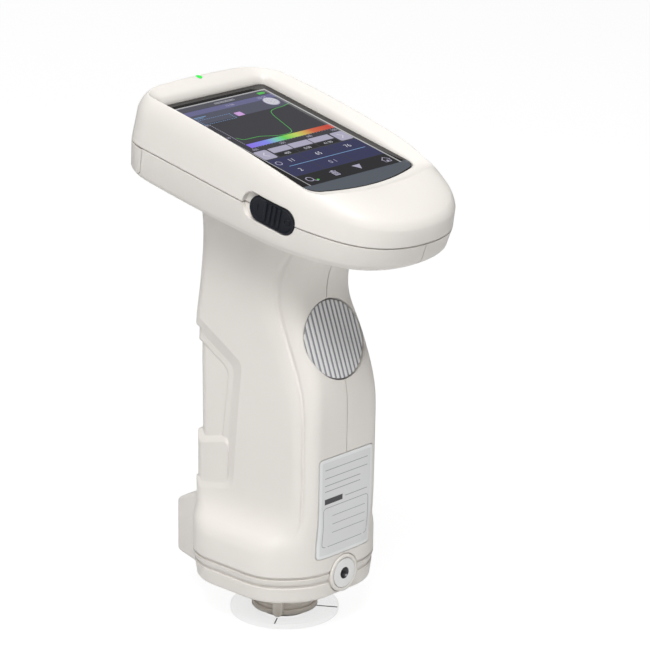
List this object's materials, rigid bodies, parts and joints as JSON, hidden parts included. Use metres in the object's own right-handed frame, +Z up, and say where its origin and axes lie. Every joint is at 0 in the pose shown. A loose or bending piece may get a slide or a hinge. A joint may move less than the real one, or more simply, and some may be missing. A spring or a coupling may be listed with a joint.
{
  "type": "portable color spectrometer",
  "caption": "Handheld color spectrometer with a slanted display head on an upright grip, standing on a clear positioning disc round its measuring port.",
  "frame": {"origin": "on the surface that the instrument stands on, under the centre of its outline", "axes": "+Z up along the measuring axis; the user faces the display from -Y; the power switch is on the -X side"},
  "size_m": [0.074, 0.129, 0.2093],
  "materials": {
    "ivory_abs": "fine satin mould texture",
    "cover_glass": "polished dark glass",
    "display": "lit colour panel",
    "signal_green": "lit light guide",
    "black_plastic": "matte",
    "plated_steel": "tin plated",
    "grey_rubber": "soft matte with moulded ribs",
    "circuit_board": "solder mask",
    "label": "printed film",
    "steel": "turned",
    "port_taupe": "satin",
    "clear_acrylic": "polished clear",
    "sphere_coating": "diffuse white",
    "black_aluminium": "anodised",
    "grating_glass": "ruled",
    "battery_wrap": "shrink film"
  },
  "bodies": {
    "housing": {"top_shell": "ivory_abs", "left_shell": "ivory_abs", "right_shell": "ivory_abs", "rear_cap": "ivory_abs", "insert_collar": "ivory_abs", "screen_glass": "cover_glass", "display_module": "display", "status_light": "signal_green", "button_guide": "black_plastic", "power_switch": "plated_steel", "button_switch": "plated_steel", "usb_socket": "plated_steel", "button_board": "circuit_board", "lamp_board": "circuit_board", "detector_board": "circuit_board", "main_board": "circuit_board", "port_board": "circuit_board", "label_plate": "label", "threaded_insert": "steel", "aperture_snout": "port_taupe", "aperture_cap": "port_taupe", "sphere_lower": "sphere_coating", "sphere_upper": "sphere_coating", "spectrometer_case": "black_aluminium", "spectrometer_lid": "black_aluminium", "grating": "grating_glass", "battery_pack": "battery_wrap", "shell_screw_1": "steel", "shell_screw_2": "steel", "shell_screw_3": "steel", "shell_screw_4": "steel", "head_screw_1": "steel", "head_screw_2": "steel", "head_screw_3": "steel", "head_screw_4": "steel", "board_screw_1": "steel", "board_screw_2": "steel", "board_screw_3": "steel", "board_screw_4": "steel"},
    "button": {"measure_button": "grey_rubber", "switch_plunger": "black_plastic"},
    "switch_slider": {"power_slider": "black_plastic", "power_knob": "black_plastic"},
    "stabilizer": {"stabilizer_ring": "port_taupe", "stabilizer_disc": "clear_acrylic"}
  },
  "joints": [
    {"name": "button_press", "type": "slide", "parent": "housing", "child": "button", "axis": [0, 0.9367, -0.3502], "range_m": [0, 0.001], "stiffness_N_per_m": 1000},
    {"name": "power_slide", "type": "slide", "parent": "housing", "child": "switch_slider", "axis": [-0.0523, 0.9759, 0.2121], "range_m": [0, 0.0033]},
    {"name": "stabilizer_turn", "type": "hinge", "parent": "housing", "child": "stabilizer", "pos_m": [0, 0.00664, 0], "axis": [0, 0, 1], "continuous": true}
  ]
}
